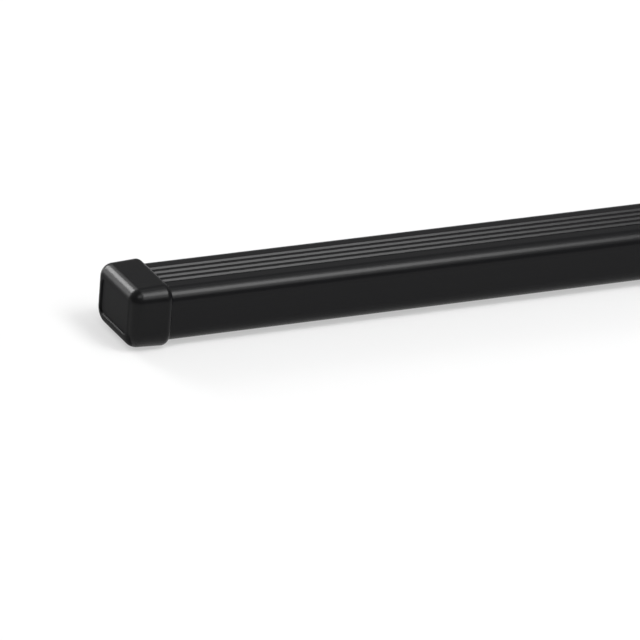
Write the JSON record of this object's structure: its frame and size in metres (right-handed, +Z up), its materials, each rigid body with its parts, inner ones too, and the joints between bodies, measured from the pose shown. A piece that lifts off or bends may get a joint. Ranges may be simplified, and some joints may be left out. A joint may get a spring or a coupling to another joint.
{
  "type": "roof rack crossbar",
  "caption": "Rectangular roof rack crossbar: steel tube in a grooved black plastic cover, with finned push-in end caps that pull off.",
  "frame": {"origin": "middle of the bar's length, on the centre of its section", "axes": "+X along the bar towards the right cap, +Z up out of the grooved top, +Y to the back"},
  "size_m": [1.1862, 0.0358, 0.0258],
  "materials": {
    "galvanised_steel": "zinc coated, dull with a faint spangle",
    "extruded_plastic": "black, satin, with fine draw lines along the length",
    "moulded_plastic": "black, satin, fine moulded grain"
  },
  "bodies": {
    "bar": {"steel_tube": "galvanised_steel", "plastic_cover": "extruded_plastic"},
    "cap_left": {"end_cap_left": "moulded_plastic"},
    "cap_right": {"end_cap_right": "moulded_plastic"}
  },
  "joints": [
    {"name": "cap_left_pull", "type": "slide", "parent": "bar", "child": "cap_left", "axis": [-1, 0, 0], "range_m": [0, 0.05]},
    {"name": "cap_right_pull", "type": "slide", "parent": "bar", "child": "cap_right", "axis": [1, 0, 0], "range_m": [0, 0.05]}
  ]
}
